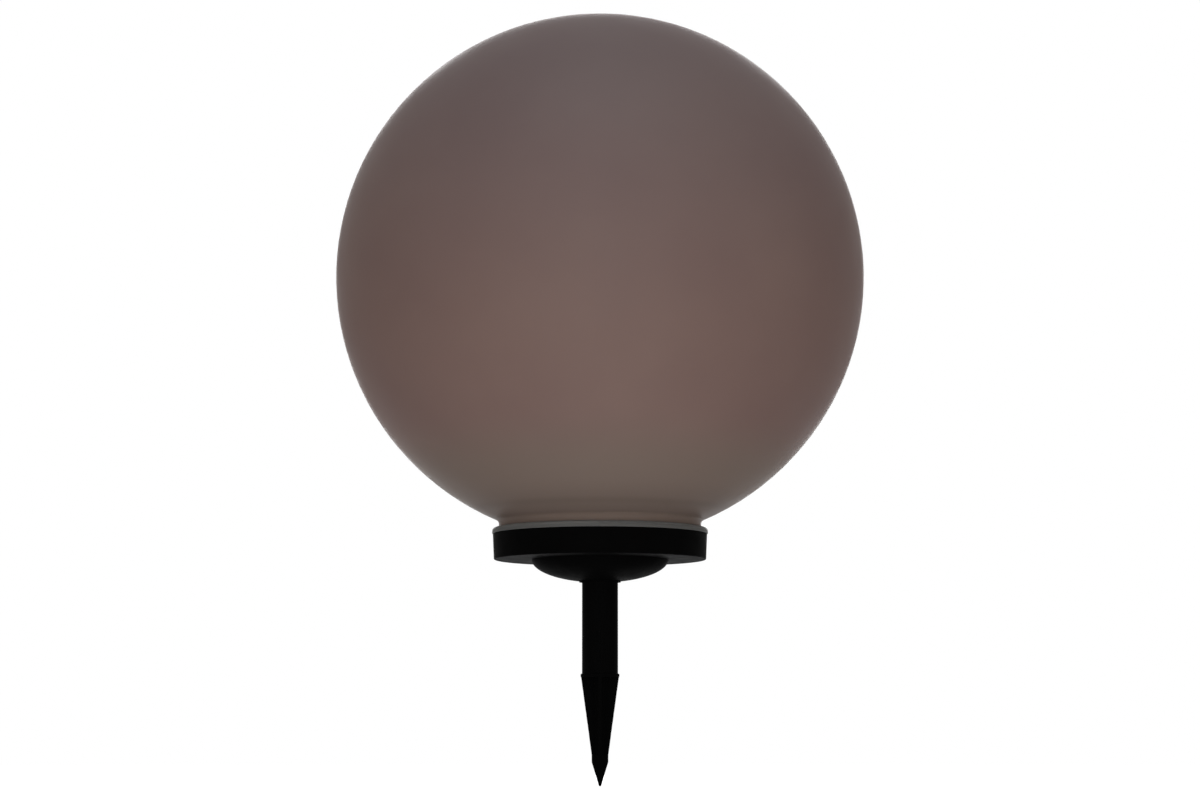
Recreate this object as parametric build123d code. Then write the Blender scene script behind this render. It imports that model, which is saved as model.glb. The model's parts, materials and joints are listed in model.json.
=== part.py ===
from build123d import *
import math
import os

# A garden globe light: a translucent ball that twists into a round cap, on a short tube and a
# ground spike. Millimetres, Z up. The origin is on the stem's axis where the spike's collar meets
# the soil. The side that is seen in use is -Y.

# ---------------------------------------------------------------- driving dimensions

# globe
globe_radius = 250.0
globe_wall = 3.0
neck_radius = 95.3
neck_height = 12.5          # cap's rim to where the ball would meet the bare neck
neck_fillet = 5.0
lip_overhang = 6.4          # past the neck
lip_height = 5.6
lip_round = 3.2
lip_chamfer = 0.5
spigot_chamfer = 0.6
lug_count = 4
lug_span = 26.0             # degrees
lug_height = 3.0
lug_drop = 12.0             # cap's rim down to the lug's foot
ledge_height = 2.8
ledge_margin = 2.0          # degrees the ledge reaches past the lug at each end
stop_span = 2.5             # degrees
stop_play = 0.3             # degrees between a lug and its stop

# cap
cap_inset = 0.8             # the lip's edge to the rim's
cap_taper = 0.95            # how much smaller the cap's foot is than its rim
cap_height = 24.1
cap_wall = 2.0
cap_floor = 2.5
cap_edge_round = 1.0
cap_rim_chamfer = 0.4
flat_ring_width = 35.65     # round the dome
dome_depth = 21.3
dome_wall = 2.5
dome_rib_count = 8
dome_rib_width = 2.0

# stem and spike
stem_radius = 16.9
stem_wall = 1.6
stem_exposed = 85.6
stem_engaged = 32.0
socket_wall = 2.6
socket_roof = 2.5
key_width = 5.0
key_height = 8.0
key_end_clearance = 0.3
key_set_back = 0.4          # from the face of the tube that it shows through to
collar_radius = 18.2
collar_height = 3.5
collar_round = 1.0
spigot_height = 42.0
spigot_wall = 2.4
spigot_lead_in = 1.5
fin_count = 4
fin_width = 3.4
fin_top_radius = 17.7
fin_end_radius = 7.8
fin_depth = 75.8
core_top_radius = 6.5
core_end_radius = 4.7
tip_band = 6.5
tip_depth = 22.6
tip_round = 1.2

# solar head inside the globe
housing_space = 4.3         # between the housing and the neck's inside
housing_wall = 2.5
housing_plate = 3.0
housing_rise = 21.0         # cap's rim to the housing's top
housing_edge_round = 1.5
foot_width = 2.4
foot_height = 1.6
seal_height = 1.6
seal_inset = 1.3
housing_boss_radius = 4.2
housing_boss_gap = 0.2      # above the cap's boss
housing_web_width = 2.4
tower_boss_radius = 3.2
gasket_height = 2.2
gasket_overhang = 1.0
panel_width = 50.0
panel_rim = 9.0             # the panel's outer edge to the housing's
panel_corner = 1.0
panel_height = 1.6
panel_pocket_depth = 1.2
panel_inner = 29.0          # axis to the nearest edge of a panel
cell_strips = 4
cell_height = 0.3
cell_gap = 0.8
cell_margin = 1.6
post_side = 16.0
post_wall = 2.0
tower_hole_radius = 5.0
post_height = 29.0
post_flange_space = 0.8     # inside the diffuser
post_flange_height = 2.0
side_board_width = 13.0
side_board_height = 23.0
side_board_thickness = 1.0
side_board_lift = 2.0       # above the post's flange
top_board_thickness = 1.2
top_board_corner = 1.5
top_chip_reach = 5.2
chip_width = 3.5
chip_length = 2.8
chip_height = 0.8
chip_rows = 3
chip_pitch = 7.0
diffuser_radius = 22.0
diffuser_wall = 1.8
diffuser_height = 46.0
diffuser_crown = 12.0
diffuser_shoulder = 8.0
diffuser_flange = 2.4
diffuser_flange_overhang = 1.5
ear_radius = 4.5
ear_reach = 29.0            # axis to the screw in a diffuser ear
post_screw_reach = 15.0

# control board
board_side = 62.0
board_thickness = 1.6
board_drop = 13.0           # housing plate's underside to the board
board_screw_inset = 5.0
board_corner = 3.0
board_boss_radius = 3.2

# battery: two AA cells side by side
cell_radius = 7.1
cell_length = 50.0
cell_edge = 0.6
button_radius = 2.7
button_height = 1.3
cell_space = 0.4            # beside and between the cells
contact_reach = 2.6         # a cell's end to the holder's wall
battery_wall = 1.4
battery_space = 5.0         # the board's edge to the holder
pad_height = 1.0
pad_inset = 3.0
contact_thickness = 0.4
contact_side = 9.0
leaf_width = 3.0
leaf_height = 4.0
tag_width = 3.0
tag_reach = 2.4             # out of the holder
tag_drop = 2.5              # below the cell's axis
tag_slot_height = 3.0

# switch, on the rear of the underside
switch_inset = 10.0         # the housing's edge to the switch's middle
switch_travel = 4.0
recess_length = 18.0
recess_width = 9.0
recess_depth = 1.5
slot_length = 8.8
slot_width = 4.0
switch_pad_length = 27.0
switch_pad_width = 11.0
switch_pad_height = 1.0
knob_length = 5.0
knob_width = 6.4
knob_neck = 3.6
knob_clearance = 0.2
knob_groove_width = 0.6
knob_groove_depth = 0.4
knob_groove_pitch = 1.4
switch_gasket_height = 1.0
switch_plate_length = 25.0
switch_plate_width = 8.0
switch_plate_height = 0.6
switch_can_length = 12.0
switch_can_width = 6.6
switch_can_height = 5.5
switch_well = 2.0           # how far the slot goes up into the can
switch_pin = (0.8, 0.5, 2.5)
switch_screw_reach = 10.8
switch_hole_spare = 0.3
mark_reach = 13.4
mark_relief = 0.3
mark_radius = 1.7
mark_stroke = 0.6

# fasteners and leads
housing_screw_inset = 10.0  # the housing's edge to a screw's axis
housing_screw_count = 4
cap_boss_radius = 5.0
cap_boss_height = 3.4
counterbore_radius = 3.4
counterbore_depth = 3.4
housing_screw_head_radius = 2.9
housing_screw_head_height = 2.1
housing_screw_radius = 1.5
housing_screw_length = 12.0
small_screw_head_radius = 2.2
small_screw_head_height = 1.5
small_screw_radius = 1.1
small_screw_length = 8.0
switch_screw_head_radius = 1.5
switch_screw_head_height = 1.0
switch_screw_radius = 0.8
switch_screw_length = 4.0
hole_spare = 2.0            # a screw's hole past its point
wire_radius = 0.7
wire_spacing = 2.5
panel_wire_inset = 3.6      # a panel's inner edge to the hole that its leads go down
panel_wire_step = 7.6       # from that hole in to where they meet the board
panel_wire_drop = 5.5
panel_wire_bend = 2.6
battery_wire_drop = 8.0
battery_wire_bend = 2.0
switch_wire_rise = 3.6
switch_wire_bend = 1.8
plug_wire_inset = 0.6

# clearances
slide_clearance = 0.08      # radial, tube in socket and spigot in tube
seat_gap = 0.05             # under the globe's lip
lug_clearance = 0.3
twist_clearance = 0.5
pocket_clearance = 0.15
screw_clearance = 0.05      # a screw's shank in its thread
free_clearance = 0.25       # a screw's shank in a plain hole

# how far a cut runs past the face it opens, and a boss into the wall that it stands on
over = 1.0
sunk = 0.5

# ---------------------------------------------------------------- radii that follow

neck_inner_radius = neck_radius - globe_wall
lip_radius = neck_radius + lip_overhang
cap_top_radius = lip_radius - cap_inset
cap_bottom_radius = cap_top_radius - cap_taper
dome_radius = cap_bottom_radius - flat_ring_width
lug_radius = cap_bottom_radius - cap_wall - lug_clearance
socket_radius = stem_radius + slide_clearance
socket_outer_radius = socket_radius + socket_wall
housing_radius = neck_inner_radius - housing_space
housing_inner_radius = housing_radius - housing_wall
foot_radius = housing_radius + foot_width
housing_screw_reach = housing_radius - housing_screw_inset
switch_reach = housing_radius - switch_inset
panel_length = housing_radius - panel_rim - panel_inner
panel_centre = panel_inner + panel_length / 2
panel_wire_reach = panel_inner + panel_wire_inset
post_flange_radius = diffuser_radius - diffuser_wall - post_flange_space
battery_front = board_side / 2 + battery_space

# ---------------------------------------------------------------- heights that follow

cap_bottom_z = stem_exposed + dome_depth
cap_top_z = cap_bottom_z + cap_height
floor_z = cap_bottom_z + cap_floor
stem_top_z = stem_exposed + stem_engaged
seal_top_z = floor_z + seal_height
housing_top_z = cap_top_z + housing_rise
plate_z = housing_top_z - housing_plate
globe_centre_z = cap_top_z + neck_height + math.sqrt(globe_radius**2 - neck_radius**2)
lug_foot_z = cap_top_z - lug_drop
lug_top_z = lug_foot_z + lug_height
twist_to_free = lug_span + ledge_margin
board_top_z = plate_z - board_drop
board_bottom_z = board_top_z - board_thickness
panel_bottom_z = housing_top_z - panel_pocket_depth
panel_top_z = panel_bottom_z + panel_height
post_top_z = housing_top_z + post_height
side_board_z = housing_top_z + post_flange_height + side_board_lift
battery_length = cell_length + 2 * (contact_reach + battery_wall)
battery_width = 4 * cell_radius + 3 * cell_space + 2 * battery_wall
battery_height = 2 * cell_radius + cell_space + battery_wall
battery_top_z = plate_z - pad_height
battery_bottom_z = battery_top_z - battery_height
switch_pad_z = floor_z + switch_pad_height
switch_plate_z = switch_pad_z + switch_gasket_height
switch_can_z = switch_plate_z + switch_plate_height
switch_top_z = switch_can_z + switch_can_height


# ---------------------------------------------------------------- helpers


def turned(*edges, arc=360, start=0):
    """Revolves a closed outline about Z. Its points are (radius, height)."""
    return Rot(Z=start) * revolve(Plane.XZ * make_face(edges), Axis.Z, arc)


def ring(inner, outer, low, high, arc=360, start=0):
    """A ring, or a stretch of one, with a rectangular section."""
    outline = Polyline((inner, low), (outer, low), (outer, high), (inner, high), close=True)
    return turned(outline, arc=arc, start=start)


def rod(radius, low, high, x=0.0, y=0.0):
    """An upright round bar from one height to another."""
    return Pos(x, y, low) * extrude(Circle(radius), high - low)


def block(x_size, y_size, low, high, x=0.0, y=0.0):
    """An upright box, centred at x and y, from one height to another."""
    return Pos(x, y, low) * extrude(Rectangle(x_size, y_size), high - low)


def around(count, piece, start=0.0):
    """Copies of a piece at even angles about Z."""
    return [Rot(Z=start + 360 / count * i) * piece for i in range(count)]


def polar(reach, angle):
    """The x and y of a point at a reach and an angle in degrees."""
    return reach * math.cos(math.radians(angle)), reach * math.sin(math.radians(angle))


def screw(head_radius, head_height, shank_radius, shank_length):
    """A cross-slotted pan-head screw that hangs from its head's seat at the origin."""
    head = turned(
        Polyline((0, head_height), (head_radius * 0.6, head_height)),
        ThreePointArc(
            (head_radius * 0.6, head_height),
            (head_radius * 0.9, head_height * 0.75),
            (head_radius, head_height * 0.3),
        ),
        Polyline((head_radius, head_height * 0.3), (head_radius, 0), (0, 0), (0, head_height)),
    )
    slot_size = head_radius * 1.1
    slot_thickness = head_radius * 0.25
    slot_floor = head_height * 0.45
    for x_size, y_size in ((slot_size, slot_thickness), (slot_thickness, slot_size)):
        head -= block(x_size, y_size, slot_floor, head_height + over)
    point = shank_radius * 1.2
    shank = turned(
        Polyline(
            (0, 0.01),
            (shank_radius, 0.01),
            (shank_radius, point - shank_length),
            (shank_radius * 0.3, -shank_length),
            (0, -shank_length),
            close=True,
        )
    )
    return head + shank


def lead(points, bend):
    """A round insulated lead along straight runs with rounded corners."""
    path = FilletPolyline(*points, radius=bend)
    first = Vector(*points[0])
    section = Plane(origin=first, z_dir=Vector(*points[1]) - first) * Circle(wire_radius)
    return sweep(section, path=path)


def group(pieces):
    """Several separate solids that share one node."""
    return Compound(children=[solid for piece in pieces for solid in piece.solids()])


# ---------------------------------------------------------------- fasteners

def housing_screw():
    return screw(
        housing_screw_head_radius,
        housing_screw_head_height,
        housing_screw_radius,
        housing_screw_length,
    )


def small_screw():
    return screw(
        small_screw_head_radius, small_screw_head_height, small_screw_radius, small_screw_length
    )


def switch_screw():
    return screw(
        switch_screw_head_radius, switch_screw_head_height, switch_screw_radius, switch_screw_length
    )


screw_angles = [45 + 360 / housing_screw_count * i for i in range(housing_screw_count)]
screw_seat_z = cap_bottom_z + counterbore_depth
cap_boss_top_z = floor_z + cap_boss_height
housing_boss_z = cap_boss_top_z + housing_boss_gap


# ---------------------------------------------------------------- spike and stem


def make_ground_spike():
    """Collar, spigot with its key, four tapering fins round a core, and a solid pointed tip."""
    spigot_radius = stem_radius - stem_wall - slide_clearance
    collar = turned(
        Polyline((0, 0), (collar_radius - collar_round, 0)),
        CenterArc((collar_radius - collar_round, -collar_round), collar_round, 0, 90),
        Polyline(
            (collar_radius, -collar_round),
            (collar_radius, -collar_height + collar_round),
            (fin_top_radius, -collar_height),
            (0, -collar_height),
            (0, 0),
        ),
    )
    spigot = turned(
        Polyline(
            (spigot_radius - spigot_wall, -collar_height / 2),
            (spigot_radius, -collar_height / 2),
            (spigot_radius, spigot_height - spigot_lead_in),
            (spigot_radius - spigot_lead_in / 2, spigot_height),
            (spigot_radius - spigot_wall, spigot_height),
            close=True,
        )
    )
    cone_top_z = -fin_depth - tip_band
    ball_z = cone_top_z - tip_depth + tip_round
    away = math.hypot(fin_end_radius, cone_top_z - ball_z)
    touch = math.atan2(cone_top_z - ball_z, fin_end_radius) - math.acos(tip_round / away)
    tip = turned(
        Polyline(
            (0, -fin_depth),
            (fin_end_radius, -fin_depth),
            (fin_end_radius, cone_top_z),
            (tip_round * math.cos(touch), ball_z + tip_round * math.sin(touch)),
        ),
        CenterArc((0, ball_z), tip_round, -90, 90 + math.degrees(touch)),
        Line((0, ball_z - tip_round), (0, -fin_depth)),
    )
    core = turned(
        Polyline(
            (0, -collar_height),
            (core_top_radius, -collar_height),
            (core_end_radius, -fin_depth),
            (0, -fin_depth),
            close=True,
        )
    )
    taper = turned(
        Polyline(
            (0, -collar_height),
            (fin_top_radius, -collar_height),
            (fin_end_radius, -fin_depth),
            (0, -fin_depth),
            close=True,
        )
    )
    fin = block(collar_radius, fin_width, -fin_depth, -collar_height, x=collar_radius / 2)
    key = block(
        key_width - 2 * slide_clearance,
        stem_wall,
        -sunk,
        key_height - key_end_clearance,
        y=spigot_radius + stem_wall / 2 - key_set_back,
    )
    spike = collar + spigot + core + tip + key
    for one in around(fin_count, fin):
        spike += one & taper
    return spike


def make_stem_tube():
    """The tube, with a key notch at the rear of each end."""
    tube = ring(stem_radius - stem_wall, stem_radius, 0, stem_top_z)
    for low, high in ((-over, key_height), (stem_top_z - key_height, stem_top_z + over)):
        tube -= block(key_width, 3 * stem_wall, low, high, y=stem_radius)
    return tube


# ---------------------------------------------------------------- cap


def make_base_cap():
    """Band, flat ring, domed underside, stem socket, ledges, bosses and the switch's seat."""
    inner_bottom = cap_bottom_radius - cap_wall
    inner_top = cap_top_radius - cap_wall
    mouth_z = cap_bottom_z - dome_depth * math.sqrt(1 - (socket_radius / dome_radius) ** 2)
    mouth_angle = math.degrees(math.asin((cap_bottom_z - mouth_z) / dome_depth))
    inner_dome_radius = dome_radius - dome_wall
    inner_dome_depth = dome_depth - dome_wall
    inner_mouth_z = cap_bottom_z - inner_dome_depth * math.sqrt(
        1 - (socket_radius / inner_dome_radius) ** 2
    )
    inner_mouth_angle = math.degrees(math.asin((cap_bottom_z - inner_mouth_z) / inner_dome_depth))
    shell = turned(
        Polyline(
            (inner_top, cap_top_z),
            (cap_top_radius - cap_rim_chamfer, cap_top_z),
            (cap_top_radius, cap_top_z - cap_rim_chamfer),
            (cap_bottom_radius, cap_bottom_z + cap_edge_round),
        ),
        CenterArc(
            (cap_bottom_radius - cap_edge_round, cap_bottom_z + cap_edge_round),
            cap_edge_round,
            270,
            90,
        ),
        Line((cap_bottom_radius - cap_edge_round, cap_bottom_z), (dome_radius, cap_bottom_z)),
        EllipticalCenterArc(
            (0, cap_bottom_z), dome_radius, dome_depth, 0, arc_size=-mouth_angle
        ),
        Line((socket_radius, mouth_z), (socket_radius, inner_mouth_z)),
        EllipticalCenterArc(
            (0, cap_bottom_z), inner_dome_radius, inner_dome_depth, 0, arc_size=-inner_mouth_angle
        ),
        Polyline(
            (inner_dome_radius, cap_bottom_z),
            (inner_dome_radius, floor_z),
            (inner_bottom, floor_z),
            (inner_top, cap_top_z),
        ),
    )
    socket = ring(socket_radius, socket_outer_radius, stem_exposed, stem_top_z + socket_roof)
    roof = rod(socket_outer_radius, stem_top_z, stem_top_z + socket_roof)
    key = block(
        key_width - 2 * slide_clearance,
        socket_wall,
        stem_top_z - key_height + key_end_clearance,
        stem_top_z + socket_roof / 2,
        y=socket_radius - stem_wall + key_set_back + socket_wall / 2,
    )
    cap = shell + socket + roof + key

    # ribs from the socket to the dome's inside
    bowl_radius = dome_radius - over
    bowl_depth = dome_depth - over
    bowl = turned(
        EllipticalCenterArc((0, cap_bottom_z), bowl_radius, bowl_depth, -90, arc_size=90),
        Polyline(
            (bowl_radius, cap_bottom_z),
            (bowl_radius, floor_z),
            (0, floor_z),
            (0, cap_bottom_z - bowl_depth),
        ),
    )
    rib_start = socket_radius + over
    rib_length = dome_radius - rib_start
    rib = block(
        rib_length, dome_rib_width, stem_exposed, floor_z, x=rib_start + rib_length / 2
    )
    for one in around(dome_rib_count, rib, start=180 / dome_rib_count):
        cap += one & bowl

    # bayonet ledges, each with a stop at the locked end
    ledge_inner = neck_radius + twist_clearance
    ledge_outer = cap_top_radius - cap_wall / 2
    ledge_low = lug_top_z + lug_clearance
    ledge_span = lug_span + 2 * ledge_margin
    for i in range(lug_count):
        middle = 360 / lug_count * i
        cap += ring(
            ledge_inner,
            ledge_outer,
            ledge_low,
            ledge_low + ledge_height,
            arc=ledge_span,
            start=middle - ledge_span / 2,
        )
        cap += ring(
            ledge_inner,
            ledge_outer,
            lug_foot_z,
            ledge_low + ledge_height,
            arc=stop_span,
            start=middle - lug_span / 2 - stop_span - stop_play,
        )

    # bosses that the housing's screws go up through
    for angle in screw_angles:
        x, y = polar(housing_screw_reach, angle)
        cap += rod(cap_boss_radius, floor_z - sunk, cap_boss_top_z, x, y)
        cap -= rod(counterbore_radius, cap_bottom_z - over, screw_seat_z, x, y)
        cap -= rod(
            housing_screw_radius + free_clearance, screw_seat_z - over, cap_boss_top_z + over, x, y
        )

    # switch seat, recess, slot and screw holes, and raised marks for off and on
    cap += block(
        switch_pad_length, switch_pad_width, floor_z - sunk, switch_pad_z, y=switch_reach
    )
    cap -= block(
        recess_length,
        recess_width,
        cap_bottom_z - over,
        cap_bottom_z + recess_depth,
        y=switch_reach,
    )
    cap -= block(slot_length, slot_width, cap_bottom_z, switch_pad_z + over, y=switch_reach)
    for side in (-1, 1):
        cap -= rod(
            switch_screw_radius + screw_clearance,
            switch_can_z - switch_screw_length - switch_hole_spare,
            switch_pad_z + over,
            side * switch_screw_reach,
            switch_reach,
        )
    mark_low = cap_bottom_z - mark_relief
    mark_high = cap_bottom_z + mark_relief
    cap += Pos(-mark_reach, switch_reach) * ring(
        mark_radius - mark_stroke, mark_radius, mark_low, mark_high
    )
    cap += block(mark_stroke, 2 * mark_radius, mark_low, mark_high, x=mark_reach, y=switch_reach)
    return cap


# ---------------------------------------------------------------- globe and its gasket


def make_globe():
    """The ball with its neck, lip and spigot, as one shell, and four bayonet lugs."""
    fillet_x = neck_radius + neck_fillet
    fillet_z = globe_centre_z - math.sqrt((globe_radius + neck_fillet) ** 2 - fillet_x**2)
    meet = math.degrees(math.atan2(fillet_z - globe_centre_z, fillet_x))
    inner_radius = globe_radius - globe_wall
    inner_fillet = neck_fillet + globe_wall
    lip_low = cap_top_z + seat_gap
    lip_top = lip_low + lip_height
    spigot_low = floor_z + gasket_height + lug_clearance
    shell = turned(
        CenterArc((0, globe_centre_z), globe_radius, meet, 90 - meet),
        Line((0, globe_centre_z + globe_radius), (0, globe_centre_z + inner_radius)),
        CenterArc((0, globe_centre_z), inner_radius, meet, 90 - meet),
        CenterArc((fillet_x, fillet_z), inner_fillet, 180 + meet, -meet),
        Polyline(
            (neck_inner_radius, fillet_z),
            (neck_inner_radius, spigot_low),
            (neck_radius - spigot_chamfer, spigot_low),
            (neck_radius, spigot_low + spigot_chamfer),
            (neck_radius, lip_low),
            (lip_radius - lip_chamfer, lip_low),
            (lip_radius, lip_low + lip_chamfer),
            (lip_radius, lip_top - lip_round),
        ),
        CenterArc((lip_radius - lip_round, lip_top - lip_round), lip_round, 0, 90),
        Polyline((lip_radius - lip_round, lip_top), (neck_radius, lip_top), (neck_radius, fillet_z)),
        CenterArc((fillet_x, fillet_z), neck_fillet, 180 + meet, -meet),
    )
    lug = ring(
        neck_radius - globe_wall / 2,
        lug_radius,
        lug_foot_z,
        lug_top_z,
        arc=lug_span,
        start=-lug_span / 2,
    )
    for one in around(lug_count, lug):
        shell += one
    return shell


def make_globe_gasket():
    """A flat rubber ring on the cap's floor, under the globe's spigot."""
    return ring(
        neck_inner_radius - gasket_overhang,
        neck_radius + gasket_overhang,
        floor_z,
        floor_z + gasket_height,
    )


# ---------------------------------------------------------------- solar head


def make_engine_housing():
    """The drum that carries panels, tower, board and battery."""
    shell = turned(
        Polyline(
            (0, plate_z),
            (housing_inner_radius, plate_z),
            (housing_inner_radius, seal_top_z),
            (foot_radius, seal_top_z),
            (foot_radius, seal_top_z + foot_height),
            (housing_radius, seal_top_z + foot_height),
            (housing_radius, housing_top_z - housing_edge_round),
        ),
        CenterArc(
            (housing_radius - housing_edge_round, housing_top_z - housing_edge_round),
            housing_edge_round,
            0,
            90,
        ),
        Polyline((housing_radius - housing_edge_round, housing_top_z), (0, housing_top_z), (0, plate_z)),
    )

    # bosses for the cap's screws, webbed to the wall
    boss = rod(housing_boss_radius, housing_boss_z, plate_z + sunk, housing_screw_reach)
    web_length = housing_inner_radius - housing_screw_reach + over
    boss += block(
        web_length,
        housing_web_width,
        housing_boss_z,
        plate_z + sunk,
        x=housing_screw_reach + web_length / 2,
    )
    boss -= rod(
        housing_screw_radius + screw_clearance,
        housing_boss_z - over,
        screw_seat_z + housing_screw_length + hole_spare,
        housing_screw_reach,
    )
    shell += [Rot(Z=angle) * boss for angle in screw_angles]

    # bosses for the board
    reach = board_side / 2 - board_screw_inset
    for x in (-reach, reach):
        for y in (-reach, reach):
            shell += rod(board_boss_radius, board_top_z, plate_z + 0.5, x, y)
            shell -= rod(
                small_screw_radius + screw_clearance,
                board_top_z - over,
                board_bottom_z + small_screw_length + hole_spare,
                x,
                y,
            )

    # bosses under the tower's screws
    hole_end_z = housing_top_z - small_screw_length
    for reach, angle in tower_screw_places():
        x, y = polar(reach, angle)
        shell += rod(tower_boss_radius, hole_end_z - over, plate_z + sunk, x, y)
        shell -= rod(
            small_screw_radius + screw_clearance, hole_end_z, housing_top_z + over, x, y
        )

    # pockets and lead holes for the panels, and the tower's lead hole
    pocket = block(
        panel_length + 2 * pocket_clearance,
        panel_width + 2 * pocket_clearance,
        panel_bottom_z,
        housing_top_z + over,
        x=panel_centre,
    )
    hole = rod(wire_spacing, plate_z - over, housing_top_z, panel_wire_reach)
    for cut in (*around(4, pocket), *around(4, hole)):
        shell -= cut
    shell -= rod(tower_hole_radius, plate_z - over, housing_top_z + over)
    return shell


def tower_screw_places():
    """Reach and angle of the two diffuser screws and the two post screws."""
    return ((ear_reach, 45), (ear_reach, 225), (post_screw_reach, 135), (post_screw_reach, 315))


def make_housing_seal():
    """The rubber ring under the housing's foot."""
    return ring(housing_inner_radius + seal_inset, foot_radius, floor_z, seal_top_z)


def make_housing_screws():
    upright = Rot(X=180) * housing_screw()
    return group(
        [Pos(*polar(housing_screw_reach, angle), screw_seat_z) * upright for angle in screw_angles]
    )


def make_solar_panel(angle):
    """A panel's board, bedded in its pocket."""
    board = block(panel_length, panel_width, panel_bottom_z, panel_top_z, x=panel_centre)
    board = fillet(board.edges().filter_by(Axis.Z), panel_corner)
    return Rot(Z=angle) * board


def make_solar_cells(angle):
    """The strips of cell on a panel, a hair apart."""
    field_length = panel_length - 2 * cell_margin
    field_width = panel_width - 2 * cell_margin
    pitch = (field_length + cell_gap) / cell_strips
    strips = [
        block(
            pitch - cell_gap,
            field_width,
            panel_top_z,
            panel_top_z + cell_height,
            x=panel_inner + cell_margin + pitch * (i + 0.5) - cell_gap / 2,
        )
        for i in range(cell_strips)
    ]
    return group([Rot(Z=angle) * strip for strip in strips])


def make_led_post():
    """The tower's hollow square post on a round flange."""
    inner = post_side - 2 * post_wall
    post = block(post_side, post_side, housing_top_z, post_top_z)
    post += rod(post_flange_radius, housing_top_z, housing_top_z + post_flange_height)
    post -= block(inner, inner, housing_top_z - over, post_top_z + over)
    for reach, angle in tower_screw_places()[2:]:
        post -= rod(
            small_screw_radius + free_clearance,
            housing_top_z - over,
            housing_top_z + post_flange_height + over,
            *polar(reach, angle),
        )
    return post


def make_led_side_boards():
    board = block(
        side_board_thickness,
        side_board_width,
        side_board_z,
        side_board_z + side_board_height,
        x=(post_side + side_board_thickness) / 2,
    )
    return group(around(4, board))


def make_led_side_chips():
    """A column of LED packages on each side board."""
    face = post_side / 2 + side_board_thickness
    middle_z = side_board_z + side_board_height / 2
    column = []
    for i in range(chip_rows):
        low = middle_z + (i - (chip_rows - 1) / 2) * chip_pitch - chip_length / 2
        column.append(
            block(chip_height, chip_width, low, low + chip_length, x=face + chip_height / 2)
        )
    return group([one for chip in column for one in around(4, chip)])


def make_led_top_board():
    board = block(post_side, post_side, post_top_z, post_top_z + top_board_thickness)
    return fillet(board.edges().filter_by(Axis.Z), top_board_corner)


def make_led_top_chips():
    low = post_top_z + top_board_thickness
    chip = block(chip_width, chip_length, low, low + chip_height, *polar(top_chip_reach, 45))
    return group(around(4, chip))


def make_led_diffuser():
    """The frosted cover: a tube with a domed crown, on a flange with two screw ears."""
    crown_z = housing_top_z + diffuser_height - diffuser_crown
    flange_z = housing_top_z + diffuser_flange
    shoulder_x = diffuser_radius - diffuser_shoulder
    rise = diffuser_crown - diffuser_shoulder
    drop = (shoulder_x**2 - rise**2) / (2 * rise)
    blend = math.degrees(math.atan2(drop, shoulder_x))

    def crowned(low_outline, inset):
        """A capped round form, its crown a shoulder arc that runs into a ball's cap."""
        cap_radius = diffuser_crown + drop - inset
        return turned(
            Polyline(*low_outline, (diffuser_radius - inset, crown_z)),
            CenterArc((shoulder_x, crown_z), diffuser_shoulder - inset, 0, blend),
            CenterArc((0, crown_z - drop), cap_radius, blend, 90 - blend),
            Line((0, crown_z - drop + cap_radius), (0, housing_top_z)),
        )

    flange_radius = diffuser_radius + diffuser_flange_overhang
    cover = crowned(
        (
            (0, housing_top_z),
            (flange_radius, housing_top_z),
            (flange_radius, flange_z),
            (diffuser_radius, flange_z),
        ),
        0,
    )
    for reach, angle in tower_screw_places()[:2]:
        x, y = polar(reach, angle)
        cover += rod(ear_radius, housing_top_z, flange_z, x, y)
        cover += Rot(Z=angle) * block(
            reach, 2 * ear_radius, housing_top_z, flange_z, x=reach / 2
        )
        cover -= rod(
            small_screw_radius + free_clearance, housing_top_z - over, flange_z + over, x, y
        )
    inner = diffuser_radius - diffuser_wall
    return cover - crowned(((0, housing_top_z), (inner, housing_top_z)), diffuser_wall)


def make_tower_screws():
    seats = (housing_top_z + diffuser_flange,) * 2 + (housing_top_z + post_flange_height,) * 2
    return group(
        [
            Pos(*polar(reach, angle), seat) * small_screw()
            for (reach, angle), seat in zip(tower_screw_places(), seats)
        ]
    )


# ---------------------------------------------------------------- control board

driver_place = (-9.0, -10.0)
driver_size = (4.0, 5.0, 1.5)
driver_lift = 0.1           # clear of the board
driver_leg_width = 0.42
driver_leg_pitch = 1.27
driver_leg_thickness = 0.3
driver_leg_reach = 3.15     # the chip's middle to a leg's end
driver_leg_height = 0.9
inductor_place = (10.0, -14.0)
capacitor_place = (16.0, 8.0)
battery_plug = (-14.0, 23.0)
switch_plug = (11.0, 24.0)
plug_size = (7.5, 5.8, 6.0)
inductor_radius = 4.5
inductor_height = 6.5
inductor_flange = 1.1
capacitor_radius = 4.0
capacitor_height = 11.5
crimp_drop = 2.4            # the board to the crimp's far edge
crimp_width = 0.8
crimp_depth = 0.4
plug_notch = (5.9, 1.0, 1.5)


def make_control_board():
    """The square board, with screw holes and a hole in the middle for the tower's leads."""
    board = block(board_side, board_side, board_bottom_z, board_top_z)
    board = fillet(board.edges().filter_by(Axis.Z), board_corner)
    reach = board_side / 2 - board_screw_inset
    for x in (-reach, reach):
        for y in (-reach, reach):
            board -= rod(
                small_screw_radius + free_clearance, board_bottom_z - over, board_top_z + over, x, y
            )
    return board


def make_board_screws():
    reach = board_side / 2 - board_screw_inset
    upright = Rot(X=180) * small_screw()
    return group(
        [Pos(x, y, board_bottom_z) * upright for x in (-reach, reach) for y in (-reach, reach)]
    )


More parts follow.
